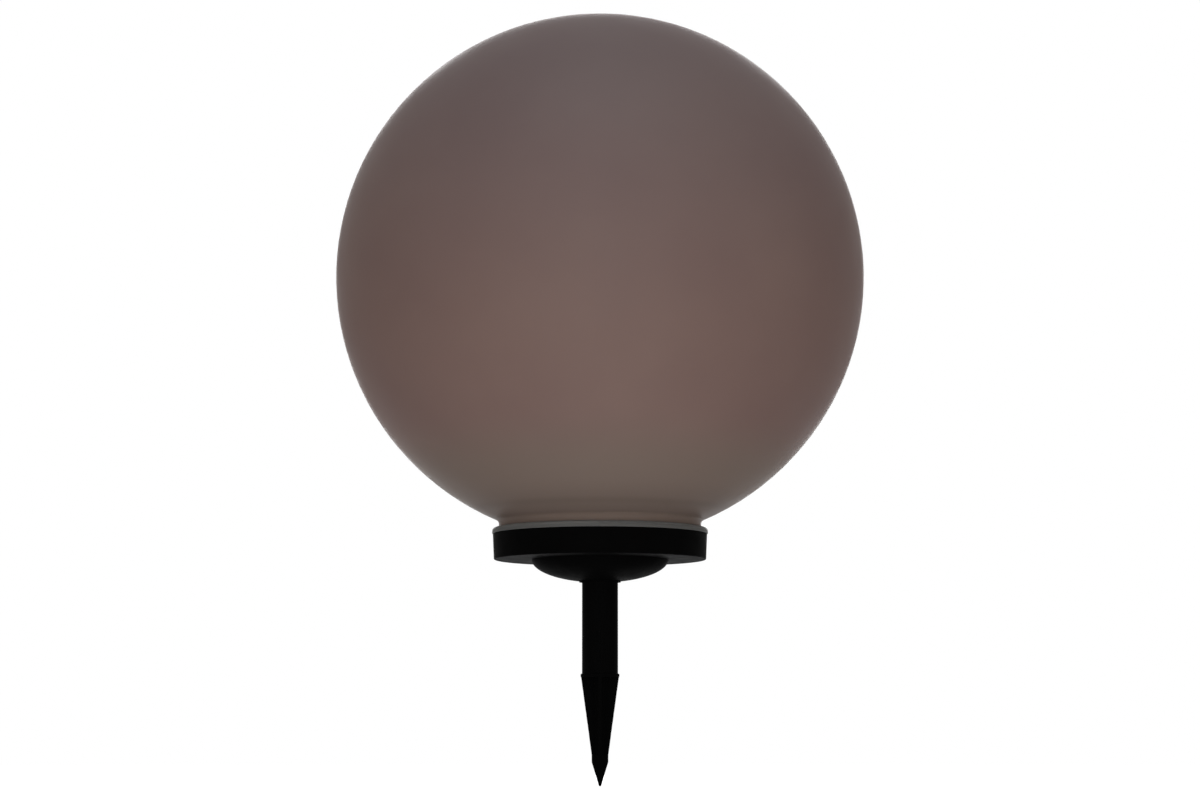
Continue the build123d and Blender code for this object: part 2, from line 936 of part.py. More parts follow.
def make_driver_chip():
    """An eight-legged chip under the board."""
    x, y = driver_place
    length, width, height = driver_size
    body_top_z = board_bottom_z - driver_lift
    bend_z = board_bottom_z - driver_leg_height
    body = block(length, width, body_top_z - height, body_top_z, x, y)
    arm = block(
        2 * driver_leg_reach, driver_leg_width, bend_z, bend_z + driver_leg_thickness, x, y
    )
    for side in (-1, 1):
        foot_x = x + side * (driver_leg_reach - driver_leg_thickness / 2)
        arm += block(driver_leg_thickness, driver_leg_width, bend_z, board_bottom_z, foot_x, y)
    for i in range(4):
        body += Pos(0, (i - 1.5) * driver_leg_pitch) * arm
    return body


def make_storage_inductor():
    """A bobbin core with its winding."""
    winding_radius = inductor_radius - inductor_flange / 2
    core = rod(winding_radius, -inductor_height, 0)
    for low in (-inductor_height, -inductor_flange):
        core += rod(inductor_radius, low, low + inductor_flange)
    return Pos(*inductor_place, board_bottom_z) * core


def make_filter_capacitor():
    """An electrolytic can with its crimp."""
    can = rod(capacitor_radius, -capacitor_height, 0)
    can = chamfer(can.edges().sort_by(Axis.Z)[0], crimp_depth)
    can -= ring(
        capacitor_radius - crimp_depth, capacitor_radius + over, -crimp_drop, crimp_width - crimp_drop
    )
    return Pos(*capacitor_place, board_bottom_z) * can


def make_board_connectors():
    """The battery's and the switch's plugs, in their headers."""
    length, width, height = plug_size
    plug = block(length, width, -height, 0)
    notch_length, notch_width, notch_depth = plug_notch
    plug -= block(
        notch_length, notch_width, -height - over, notch_depth - height, y=width / 2 - notch_width
    )
    return group([Pos(*place, board_bottom_z) * plug for place in (battery_plug, switch_plug)])


# ---------------------------------------------------------------- battery

battery_centre = battery_front + battery_width / 2
cell_axis_z = battery_top_z - battery_wall - cell_radius - cell_space / 2


def cell_axes():
    """The y of each cell's axis, front and rear."""
    offset = cell_radius + cell_space / 2
    return battery_centre - offset, battery_centre + offset


def make_battery_holder():
    """An open tray, its mouth downward, with a rib between the cells."""
    tray = block(battery_length, battery_width, battery_bottom_z, battery_top_z, y=battery_centre)
    tray -= block(
        battery_length - 2 * battery_wall,
        battery_width - 2 * battery_wall,
        battery_bottom_z - over,
        battery_top_z - battery_wall,
        y=battery_centre,
    )
    tray += block(
        cell_length / 2,
        cell_space,
        battery_top_z - battery_wall - cell_radius / 2,
        battery_top_z - battery_wall / 2,
        y=battery_centre,
    )
    for y in cell_axes():
        tray -= block(
            2 * battery_wall + over,
            tag_width + pocket_clearance,
            cell_axis_z - tag_drop - tag_slot_height / 2,
            cell_axis_z - tag_drop + tag_slot_height / 2,
            -battery_length / 2,
            y,
        )
    return tray


def make_battery_pad():
    return block(
        battery_length - 2 * pad_inset,
        battery_width - 2 * pad_inset,
        battery_top_z,
        plate_z,
        y=battery_centre,
    )


def make_battery_cell(y, facing):
    """An AA cell on its side, with its button end."""
    half = cell_length / 2
    shoulder = half - button_height
    cell = turned(
        Polyline(
            (0, -half),
            (cell_radius - cell_edge, -half),
            (cell_radius, cell_edge - half),
            (cell_radius, shoulder - cell_edge),
            (cell_radius - cell_edge, shoulder),
            (button_radius, shoulder),
            (button_radius, half),
            (0, half),
            close=True,
        )
    )
    return Pos(0, y, cell_axis_z) * Rot(Y=90 * facing) * cell


def make_battery_contacts():
    """A plate at each end of each cell. Those at the left end reach out as solder tags."""
    pieces = []
    inner_end = battery_length / 2 - battery_wall
    for y in cell_axes():
        for side in (-1, 1):
            plate = Pos(side * (inner_end - contact_thickness / 2), y, cell_axis_z) * Box(
                contact_thickness, contact_side, contact_side
            )
            reach = inner_end - contact_thickness - cell_length / 2
            leaf = Pos(side * (inner_end - contact_thickness - reach / 2), y, cell_axis_z) * Box(
                reach, leaf_width, leaf_height
            )
            plate += leaf
            if side < 0:
                plate += block(
                    battery_wall + tag_reach,
                    tag_width,
                    cell_axis_z - tag_drop - contact_thickness / 2,
                    cell_axis_z - tag_drop + contact_thickness / 2,
                    (battery_wall - tag_reach - battery_length) / 2,
                    y,
                )
            pieces.append(plate)
    return group(pieces)


# ---------------------------------------------------------------- switch


def make_switch_gasket():
    sheet = block(
        switch_plate_length, switch_plate_width, switch_pad_z, switch_plate_z, y=switch_reach
    )
    sheet -= block(slot_length, slot_width, switch_pad_z - over, switch_plate_z + over, y=switch_reach)
    for side in (-1, 1):
        sheet -= rod(
            switch_screw_radius + free_clearance,
            switch_pad_z - over,
            switch_plate_z + over,
            side * switch_screw_reach,
            switch_reach,
        )
    return sheet


def make_switch_body():
    """A small slide switch: mounting plate, can, and three solder pins on its back."""
    body = block(
        switch_plate_length, switch_plate_width, switch_plate_z, switch_can_z, y=switch_reach
    )
    body += block(
        switch_can_length, switch_can_width, switch_plate_z, switch_top_z, y=switch_reach
    )
    body -= block(
        slot_length,
        slot_width,
        switch_plate_z - over,
        switch_can_z + switch_well,
        y=switch_reach,
    )
    for side in (-1, 1):
        body -= rod(
            switch_screw_radius + free_clearance,
            switch_plate_z - over,
            switch_can_z + over,
            side * switch_screw_reach,
            switch_reach,
        )
    pin_length, pin_width, pin_height = switch_pin
    for x in (-wire_spacing, 0, wire_spacing):
        body += block(
            pin_length, pin_width, switch_top_z - sunk, switch_top_z + pin_height, x, switch_reach
        )
    return body


def make_switch_screws():
    return group(
        [
            Pos(side * switch_screw_reach, switch_reach, switch_can_z) * switch_screw()
            for side in (-1, 1)
        ]
    )


def make_switch_knob():
    """The sliding knob, shown at off: a ridged pad in the recess and a neck into the switch."""
    x = -switch_travel / 2
    pad_low = cap_bottom_z + knob_clearance / 2
    pad_high = cap_bottom_z + recess_depth - knob_clearance
    neck_high = switch_can_z + switch_well - knob_clearance
    knob = block(knob_length, knob_width, pad_low, pad_high, x, switch_reach)
    knob += block(knob_neck, knob_neck, pad_high - sunk, neck_high, x, switch_reach)
    for i in (-1, 0, 1):
        knob -= block(
            knob_groove_width,
            knob_width + over,
            pad_low - over,
            pad_low + knob_groove_depth,
            x + i * knob_groove_pitch,
            switch_reach,
        )
    return knob


# ---------------------------------------------------------------- leads


def make_panel_wires():
    """Two leads from each panel, down its hole and in to the board."""
    turn_z = plate_z - panel_wire_drop
    land = panel_wire_reach - panel_wire_step
    leads = []
    for y in (-wire_spacing / 2, wire_spacing / 2):
        leads.append(
            lead(
                [
                    (panel_wire_reach, y, panel_bottom_z),
                    (panel_wire_reach, y, turn_z),
                    (land, y, turn_z),
                    (land, y, board_top_z),
                ],
                panel_wire_bend,
            )
        )
    return group([one for piece in leads for one in around(4, piece)])


def make_led_wires():
    """Two leads straight down inside the post, from the top board to the control board."""
    return group(
        [
            rod(wire_radius, board_top_z, post_top_z, side * wire_spacing / 2)
            for side in (-1, 1)
        ]
    )


def make_battery_wires():
    """A lead from each solder tag, down past the holder and in to the battery's plug."""
    tag_x = -(battery_length + tag_reach) / 2
    tag_z = cell_axis_z - tag_drop - contact_thickness / 2
    low_z = battery_bottom_z - battery_wire_drop
    plug_z = board_bottom_z - plug_size[2]
    front, rear = cell_axes()
    plug_x, plug_y = battery_plug
    leads = []
    for y, x_end in ((front, plug_x - wire_spacing / 2), (rear, plug_x + wire_spacing / 2)):
        leads.append(
            lead(
                [
                    (tag_x, y, tag_z),
                    (tag_x, y, low_z),
                    (x_end, plug_y - plug_wire_inset, low_z),
                    (x_end, plug_y - plug_wire_inset, plug_z),
                ],
                battery_wire_bend,
            )
        )
    return group(leads)


def make_switch_wires():
    """Two leads from the switch's pins, over to the switch's plug."""
    pin_z = switch_top_z + switch_pin[2]
    high_z = pin_z + switch_wire_rise
    plug_z = board_bottom_z - plug_size[2]
    plug_x, plug_y = switch_plug
    leads = []
    for x_start, x_end in ((0.0, plug_x - wire_spacing / 2), (wire_spacing, plug_x + wire_spacing / 2)):
        leads.append(
            lead(
                [
                    (x_start, switch_reach, pin_z),
                    (x_start, switch_reach, high_z),
                    (x_end, plug_y - plug_wire_inset, high_z),
                    (x_end, plug_y - plug_wire_inset, plug_z),
                ],
                switch_wire_bend,
            )
        )
    return group(leads)


# ---------------------------------------------------------------- the nodes

front_cell, rear_cell = cell_axes()
nodes = {
    "ground_spike": make_ground_spike(),
    "stem_tube": make_stem_tube(),
    "base_cap": make_base_cap(),
    "globe": make_globe(),
    "globe_gasket": make_globe_gasket(),
    "engine_housing": make_engine_housing(),
    "housing_seal": make_housing_seal(),
    "housing_screws": make_housing_screws(),
    "led_post": make_led_post(),
    "led_side_boards": make_led_side_boards(),
    "led_side_chips": make_led_side_chips(),
    "led_top_board": make_led_top_board(),
    "led_top_chips": make_led_top_chips(),
    "led_diffuser": make_led_diffuser(),
    "tower_screws": make_tower_screws(),
    "control_board": make_control_board(),
    "board_screws": make_board_screws(),
    "driver_chip": make_driver_chip(),
    "storage_inductor": make_storage_inductor(),
    "filter_capacitor": make_filter_capacitor(),
    "board_connectors": make_board_connectors(),
    "battery_holder": make_battery_holder(),
    "battery_pad": make_battery_pad(),
    "battery_cell_front": make_battery_cell(front_cell, 1),
    "battery_cell_rear": make_battery_cell(rear_cell, -1),
    "battery_contacts": make_battery_contacts(),
    "switch_gasket": make_switch_gasket(),
    "switch_body": make_switch_body(),
    "switch_screws": make_switch_screws(),
    "switch_knob": make_switch_knob(),
    "panel_wires": make_panel_wires(),
    "led_wires": make_led_wires(),
    "battery_wires": make_battery_wires(),
    "switch_wires": make_switch_wires(),
}
for side, angle in (("right", 0), ("rear", 90), ("left", 180), ("front", 270)):
    nodes[f"solar_panel_{side}"] = make_solar_panel(angle)
    nodes[f"solar_cells_{side}"] = make_solar_cells(angle)

os.makedirs("parts", exist_ok=True)
for name, shape in nodes.items():
    export_step(shape, f"parts/{name}.step")
print(len(nodes), "nodes; the globe twists", twist_to_free, "degrees to come free")
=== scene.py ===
"""The looks of a garden globe light: its materials, some small modelled pieces, a plain white
stage, soft light and the camera.

Everything is in metres, in the part's own frame: Z up along the stem, the origin on the stem's
axis where the spike's collar meets the soil, and -Y towards the viewer.
"""

import math

import bmesh
import bpy
from mathutils import Matrix, Vector
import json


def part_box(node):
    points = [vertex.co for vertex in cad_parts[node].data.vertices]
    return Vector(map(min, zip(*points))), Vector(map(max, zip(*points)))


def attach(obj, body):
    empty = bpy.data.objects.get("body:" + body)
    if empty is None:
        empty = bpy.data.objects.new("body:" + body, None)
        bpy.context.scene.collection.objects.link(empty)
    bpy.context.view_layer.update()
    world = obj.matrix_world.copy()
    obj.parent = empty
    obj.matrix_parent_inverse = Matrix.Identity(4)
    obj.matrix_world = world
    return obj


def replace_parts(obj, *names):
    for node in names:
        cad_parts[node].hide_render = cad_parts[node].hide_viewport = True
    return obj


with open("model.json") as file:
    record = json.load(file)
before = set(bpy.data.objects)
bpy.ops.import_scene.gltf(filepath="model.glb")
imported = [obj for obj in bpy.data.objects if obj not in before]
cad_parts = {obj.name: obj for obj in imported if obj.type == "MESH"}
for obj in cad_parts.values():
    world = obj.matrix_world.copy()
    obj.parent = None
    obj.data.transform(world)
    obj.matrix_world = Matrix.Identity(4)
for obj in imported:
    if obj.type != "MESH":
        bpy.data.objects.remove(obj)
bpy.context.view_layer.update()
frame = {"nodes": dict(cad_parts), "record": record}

MM = 0.001
FULL_TURN = 2 * math.pi

# Sizes that a material or a small modelled piece shares with the part
LIP_HEIGHT = 5.6 * MM          # the globe's lip, above the cap's rim
LIP_ROUND = 3.2 * MM           # the radius of its top edge
FLANGE_HEIGHT = 1.1 * MM       # each end of the inductor's core
LEAD_RADIUS = 0.7 * MM


def vectors(box):
    """A box's low and high corners, as vectors."""
    return [Vector(corner) for corner in box]


# ---------------------------------------------------------------- camera


def add_camera():
    """The photograph's own view: low in front, looking slightly up."""
    distance = 3.0
    height = -0.0817
    pitch = math.radians(6.463)
    focal_length = 95.697
    sensor_width = 36.0
    data = bpy.data.cameras.new("camera")
    data.lens = focal_length
    data.sensor_width = sensor_width
    camera = bpy.data.objects.new("camera", data)
    camera.location = (0, -distance, height)
    camera.rotation_euler = (math.pi / 2 + pitch, 0, 0)
    bpy.context.collection.objects.link(camera)
    bpy.context.scene.camera = camera


# ---------------------------------------------------------------- shader building blocks


def colour(red, green, blue):
    """A colour written as 0 to 255 on screen, as the shader wants it."""
    def linear(c):
        c /= 255
        return c / 12.92 if c <= 0.04045 else ((c + 0.055) / 1.055) ** 2.4

    return (linear(red), linear(green), linear(blue), 1.0)


class Surface:
    """A material with one main shader, and short calls that add nodes to it."""

    # the Mix node's colour sockets, which share their names with its other kinds of socket
    MIX_FIRST, MIX_SECOND, MIX_RESULT = 6, 7, 2

    def __init__(self, name, base, roughness, **constants):
        self.material = bpy.data.materials.new(name)
        self.material.use_nodes = True
        self.tree = self.material.node_tree
        self.shader = self.tree.nodes["Principled BSDF"]
        self.shader.inputs["Base Color"].default_value = base
        self.shader.inputs["Roughness"].default_value = roughness
        for socket, value in constants.items():
            self.shader.inputs[socket.replace("_", " ")].default_value = value
        coordinates = self.tree.nodes.new("ShaderNodeTexCoord")
        self.place = coordinates.outputs["Object"]

    def node(self, kind, **settings):
        node = self.tree.nodes.new(kind)
        for setting, value in settings.items():
            setattr(node, setting, value)
        return node

    def feed(self, socket, value):
        """Links an output to a socket, or writes a plain value there."""
        if isinstance(value, bpy.types.NodeSocket):
            self.tree.links.new(value, socket)
        else:
            socket.default_value = value

    def stretched(self, y=1.0, z=1.0):
        """The place on the object, scaled along Y and Z."""
        scaled = self.node("ShaderNodeVectorMath", operation="MULTIPLY")
        self.feed(scaled.inputs[0], self.place)
        scaled.inputs[1].default_value = (1.0, y, z)
        return scaled.outputs[0]

    def along(self, axis):
        """The place along X, Y or Z, in metres."""
        split = self.node("ShaderNodeSeparateXYZ")
        self.feed(split.inputs[0], self.place)
        return split.outputs[axis]

    def noise(self, size, detail, where=None):
        """Soft random patches of about a size in metres, from 0 to 1."""
        texture = self.node("ShaderNodeTexNoise")
        texture.inputs["Scale"].default_value = 1 / size
        texture.inputs["Detail"].default_value = detail
        self.feed(texture.inputs["Vector"], where or self.place)
        return texture.outputs["Fac"]

    def cells(self, size):
        """Random cells of about a size in metres, dark at their middles."""
        texture = self.node("ShaderNodeTexVoronoi")
        texture.inputs["Scale"].default_value = 1 / size
        self.feed(texture.inputs["Vector"], self.place)
        return texture.outputs["Distance"]

    def spread(self, value, low, high, to_low=0.0, to_high=1.0, smooth=False):
        """Maps a value's range to another, and holds it within that."""
        ranged = self.node("ShaderNodeMapRange")
        ranged.interpolation_type = "SMOOTHSTEP" if smooth else "LINEAR"
        self.feed(ranged.inputs["Value"], value)
        limits = {"From Min": low, "From Max": high, "To Min": to_low, "To Max": to_high}
        for socket, number in limits.items():
            ranged.inputs[socket].default_value = number
        return ranged.outputs["Result"]

    def uneven(self, low, high, size, detail, within=(0.3, 0.7), where=None):
        """A value that drifts from low to high in soft patches of about a size in metres. Noise
        outside the range within counts as that range's nearer end."""
        return self.spread(self.noise(size, detail, where), *within, low, high)

    def maths(self, operation, a, b=0.0):
        result = self.node("ShaderNodeMath", operation=operation)
        self.feed(result.inputs[0], a)
        self.feed(result.inputs[1], b)
        return result.outputs[0]

    def times(self, a, b):
        return self.maths("MULTIPLY", a, b)

    def unsigned(self, value):
        """A value without its sign."""
        return self.maths("ABSOLUTE", value)

    def above(self, value, limit):
        """1 where a value is over a limit, else 0."""
        return self.maths("GREATER_THAN", value, limit)

    def below(self, value, limit):
        """1 where a value is under a limit, else 0."""
        return self.maths("LESS_THAN", value, limit)

    def between(self, value, low, high):
        """1 where a value is inside a range, else 0."""
        return self.times(self.above(value, low), self.below(value, high))

    def wave(self, pitch, axis):
        """Even ridges across an axis, from 0 to 1, a pitch apart in metres."""
        turns = self.times(self.along(axis), FULL_TURN / pitch)
        return self.spread(self.maths("SINE", turns), -1.0, 1.0)

    def shaded(self, tone, share):
        """A colour times a share of its brightness."""
        scaled = self.node("ShaderNodeVectorMath", operation="SCALE")
        self.feed(scaled.inputs[0], tone[:3] if isinstance(tone, tuple) else tone)
        self.feed(scaled.inputs["Scale"], share)
        return scaled.outputs[0]

    def blend(self, factor, first, second):
        """A mix of two colours."""
        mix = self.node("ShaderNodeMix", data_type="RGBA")
        self.feed(mix.inputs["Factor"], factor)
        self.feed(mix.inputs[self.MIX_FIRST], first)
        self.feed(mix.inputs[self.MIX_SECOND], second)
        return mix.outputs[self.MIX_RESULT]

    def mottled(self, size, detail, first, second, where=None):
        """Two colours in soft patches of about a size in metres."""
        return self.blend(self.noise(size, detail, where), first, second)

    def paint(self, value):
        self.feed(self.shader.inputs["Base Color"], value)

    def gloss(self, value):
        self.feed(self.shader.inputs["Roughness"], value)

    def metal_where(self, value):
        self.feed(self.shader.inputs["Metallic"], value)

    def relief(self, height, depth):
        """Raises the surface by a height of 0 to 1 times a depth in metres."""
        bump = self.node("ShaderNodeBump")
        bump.inputs["Distance"].default_value = depth
        self.feed(bump.inputs["Height"], height)
        self.feed(self.shader.inputs["Normal"], bump.outputs["Normal"])


# ---------------------------------------------------------------- materials

BLACK = colour(6, 6, 6)
BLACK_SHEEN = 0.003            # specular level of the outer black plastics


def smoke_plastic():
    """The ball: satin smoke-coloured plastic. It is opaque here, and the shade that would faintly
    show through the wall is painted on. Painted shade greys and darkens it towards the neck, where
    the black drum stands close behind it, and the drum's top edge is a faint painted dark line. The
    lip is grey, and its rounded top edge is lighter with painted light, as if light came through."""
    clear_of_drum = (25 * MM, 80 * MM)      # above the drum's top, from the neck's painted grey to the ball's tone
    drum_shadow = (-6 * MM, 22 * MM)        # about the drum's top, from its painted shade to none
    drum_shade = 0.85
    line_height = 2 * MM                    # above the drum's top
    line_reach = 4 * MM
    line_shade = 0.92
    lip_seam = 0.4 * MM                     # above and below the lip's top, from its tone to neck's
    lip_glow = 0.9
    lip_glow_end = 0.1 * MM                 # above the lip's top

    s = Surface("smoke_plastic", colour(112, 94, 88), 0.4, Specular_IOR_Level=0.01)
    drum_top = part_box("engine_housing")[1][2]
    lip_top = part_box("base_cap")[1][2] + LIP_HEIGHT
    height = s.along("Z")

    cloud = s.uneven(0.0, 1.0, 160 * MM, 3.0, within=(0.35, 0.65))
    tone = s.blend(cloud, colour(111, 92, 87), colour(115, 96, 90))
    # the neck's greyer tone is painted shade of the black drum behind the wall
    past_painted_grey = s.spread(height, *(drum_top + reach for reach in clear_of_drum), smooth=True)
    tone = s.blend(past_painted_grey, colour(111, 98, 90), tone)
    past_lip = s.spread(height, lip_top - lip_seam, lip_top + lip_seam, smooth=True)
    tone = s.blend(past_lip, colour(91, 91, 89), tone)

    # painted shade about the drum's top, where the black drum stands behind the wall
    low, high = (drum_top + reach for reach in drum_shadow)
    shade = s.spread(height, low, high, drum_shade, 1.0, smooth=True)
    # painted light on the lip's rounded top edge, which lifts the shade there
    glow = s.spread(height, lip_top - LIP_ROUND, lip_top, 0.0, lip_glow)
    glow = s.times(glow, s.below(height, lip_top + lip_glow_end))
    shade = s.times(shade, s.maths("ADD", glow, 1.0))
    # a faint painted dark line at the drum's top edge, which stands behind the wall
    from_line = s.unsigned(s.maths("SUBTRACT", height, drum_top + line_height))
    line = s.spread(from_line, 0.0, line_reach, line_shade, 1.0, smooth=True)
    s.paint(s.shaded(tone, s.times(shade, line)))
    s.gloss(s.uneven(0.36, 0.44, 50 * MM, 4.0))
    s.relief(s.noise(3.2 * MM, 2.0), 0.01 * MM)
    return s.material


def moulded(name, base, roughness, grain, depth, specular):
    """Moulded plastic with slightly uneven gloss, and a spark-eroded grain of a size and depth."""
    s = Surface(name, base, roughness, Specular_IOR_Level=specular)
    s.paint(s.shaded(base, s.uneven(0.84, 1.0, 30 * MM, 4.0, within=(0.35, 0.65))))
    s.gloss(s.uneven(roughness - 0.05, roughness + 0.06, 12 * MM, 5.0))
    s.relief(s.cells(grain), depth)
    return s.material


def extruded():
    """The stem's tube: black plastic with faint lengthwise draw lines."""
    s = Surface("stem_black", BLACK, 0.5, Specular_IOR_Level=BLACK_SHEEN)
    lines = s.noise(1.2 * MM, 3.0, s.stretched(z=0.02))
    s.paint(s.shaded(BLACK, s.spread(lines, 0.3, 0.7, 0.8, 1.05)))
    s.gloss(s.uneven(0.45, 0.58, 20 * MM, 4.0, where=s.stretched(z=0.2)))
    s.relief(lines, 0.02 * MM)
    return s.material


def rubber():
    s = Surface("rubber", colour(26, 26, 26), 0.8, Specular_IOR_Level=0.2)
    s.paint(s.mottled(4 * MM, 5.0, colour(20, 20, 20), colour(34, 34, 33)))
    s.relief(s.noise(0.6 * MM, 3.0), 0.03 * MM)
    return s.material


def plated(name, base):
    """Plated metal with fine drawn lines and a few duller patches."""
    roughness = 0.3
    s = Surface(name, base, roughness, Metallic=1.0)
    s.paint(s.shaded(base, s.uneven(1.0, 0.7, 2 * MM, 4.0, within=(0.5, 0.75))))
    s.gloss(s.uneven(roughness - 0.08, roughness + 0.15, 1 * MM, 4.0))
    s.relief(s.noise(0.3 * MM, 2.0, s.stretched(z=8.0)), 0.01 * MM)
    return s.material


def frosted():
    """The tower's cover: milky plastic, finely etched."""
    s = Surface(
        "frosted", colour(228, 229, 226), 0.55,
        Specular_IOR_Level=0.4, Subsurface_Weight=0.3, Subsurface_Scale=4 * MM,
    )
    s.paint(s.mottled(8 * MM, 3.0, colour(222, 224, 222), colour(234, 234, 230)))
    s.relief(s.noise(0.25 * MM, 2.0), 0.02 * MM)
    return s.material


def green_board():
    """A circuit board under green solder mask, its copper tracks a little lighter."""
    layout = {
        "Scale": 1 / (9 * MM), "Mortar Size": 0.05, "Brick Width": 0.9, "Row Height": 0.27,
    }
    s = Surface("green_board", colour(22, 82, 48), 0.3, Specular_IOR_Level=0.5, Coat_Weight=0.2)
    bricks = s.node("ShaderNodeTexBrick")
    s.feed(bricks.inputs["Vector"], s.stretched(z=0.0))
    for socket, number in layout.items():
        bricks.inputs[socket].default_value = number
    tracks = bricks.outputs["Fac"]
    mask = s.mottled(12 * MM, 4.0, colour(18, 74, 42), colour(28, 92, 54))
    s.paint(s.blend(tracks, mask, colour(46, 118, 70)))
    s.relief(tracks, 0.03 * MM)
    return s.material


def solar_board():
    """The panels' black board under clear resin, with a fine weave from its glass cloth."""
    thread = 0.9 * MM
    s = Surface("panel_board", colour(20, 22, 27), 0.25, Specular_IOR_Level=0.5, Coat_Weight=0.6)
    cloth = s.times(s.wave(thread, "X"), s.wave(thread, "Y"))
    s.paint(s.blend(cloth, colour(16, 18, 22), colour(27, 29, 34)))
    s.relief(cloth, 0.01 * MM)
    return s.material


def solar_cell():
    """Dark blue silicon under resin, with fine pale fingers across each strip. The panels lie
    round the stem's axis, so a finger's place is the smaller of |x| and |y|."""
    pitch = 1.6 * MM
    finger_edge = (0.90, 0.93)     # where a finger fades in, as shares of the pitch
    s = Surface("solar_cell", colour(22, 28, 58), 0.2, Specular_IOR_Level=0.5, Coat_Weight=0.8)
    nearer = s.maths("MINIMUM", s.unsigned(s.along("X")), s.unsigned(s.along("Y")))
    finger = s.spread(s.maths("FRACT", s.maths("DIVIDE", nearer, pitch)), *finger_edge)
    crystal = s.mottled(14 * MM, 4.0, colour(18, 24, 52), colour(30, 40, 78))
    s.paint(s.blend(finger, crystal, colour(120, 126, 138)))
    return s.material


def phosphor():
    """The LEDs' packages: a yellow phosphor fill."""
    s = Surface("led_package", colour(236, 208, 92), 0.35, Specular_IOR_Level=0.4)
    s.paint(s.mottled(0.7 * MM, 2.0, colour(240, 214, 104), colour(230, 196, 76)))
    s.relief(s.noise(0.3 * MM, 2.0), 0.02 * MM)
    return s.material


def wound_core():
    """The inductor: dark ferrite ends, and between them copper wire, turn beside turn. Each turn's
    copper is lighter on its crown and darker in the grooves: painted highlight and shade.
    """
    turn_pitch = 0.35 * MM
    low, high = (corner[2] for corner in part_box("storage_inductor"))
    s = Surface("wound_core", colour(48, 44, 42), 0.5, Specular_IOR_Level=0.4)
    middle = s.between(s.along("Z"), low + FLANGE_HEIGHT, high - FLANGE_HEIGHT)
    turns = s.wave(turn_pitch, "Z")
    # painted highlight on each turn's crown and painted shade in the grooves between turns
    copper = s.blend(turns, colour(120, 58, 24), colour(196, 112, 58))
    ferrite = s.mottled(0.8 * MM, 3.0, colour(40, 38, 37), colour(58, 54, 52))
    s.paint(s.blend(middle, ferrite, copper))
    s.gloss(s.spread(middle, 0.0, 1.0, 0.6, 0.3))
    s.relief(s.times(middle, turns), 0.1 * MM)
    return s.material


def capacitor():
    """An aluminium can in a dark sleeve, with a pale stripe down its side and a bare end."""
    bare_height = 0.6 * MM
    stripe_depth = 0.9 * MM
    low, high = vectors(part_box("filter_capacitor"))
    s = Surface("capacitor", colour(150, 152, 156), 0.35)
    bare = s.below(s.along("Z"), low.z + bare_height)
    stripe = s.above(s.along("X"), high.x - stripe_depth)
    sleeve = s.mottled(5 * MM, 3.0, colour(26, 30, 40), colour(36, 40, 52))
    sleeve = s.blend(stripe, sleeve, colour(168, 170, 172))
    brushed = s.stretched(y=6.0)
    metal = s.mottled(0.5 * MM, 3.0, colour(150, 152, 156), colour(190, 192, 196), brushed)
    s.paint(s.blend(bare, sleeve, metal))
    s.metal_where(bare)
    return s.material


def foam():
    s = Surface("foam", colour(58, 58, 60), 0.95, Specular_IOR_Level=0.1)
    # the pits are darker at their middles, where the relief sinks: painted shade
    cells = s.cells(0.9 * MM)
    s.paint(s.blend(cells, colour(40, 40, 42), colour(74, 74, 77)))
    s.relief(cells, 0.25 * MM)
    return s.material


def battery():
    """A cell's plain green sleeve with a dark band near each end, and bare plated ends. The cells
    lie along X, and their middles are at X = 0."""
    bare_length = 2.0 * MM
    band_start = 3 * MM            # from the cell's end
    band_end = 11 * MM
    low, high = (corner[0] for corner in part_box("battery_cell_front"))
    half = (high - low) / 2
    s = Surface("battery", colour(52, 120, 84), 0.3, Specular_IOR_Level=0.5)
    from_middle = s.unsigned(s.along("X"))
    bare = s.above(from_middle, half - bare_length)
    band = s.between(from_middle, half - band_end, half - band_start)
    sleeve = s.mottled(6 * MM, 3.0, colour(48, 112, 78), colour(58, 128, 90))
    sleeve = s.blend(band, sleeve, colour(30, 34, 33))
    metal = s.mottled(0.8 * MM, 3.0, colour(168, 168, 164), colour(204, 203, 198))
    s.paint(s.blend(bare, sleeve, metal))
    s.metal_where(bare)
    return s.material


def insulation(name, base):
    """A lead's soft shiny sleeve."""
    s = Surface(name, base, 0.35, Specular_IOR_Level=0.4)
    s.paint(s.shaded(base, s.uneven(0.82, 1.06, 3 * MM, 3.0)))
    s.relief(s.noise(0.5 * MM, 2.0), 0.01 * MM)
    return s.material


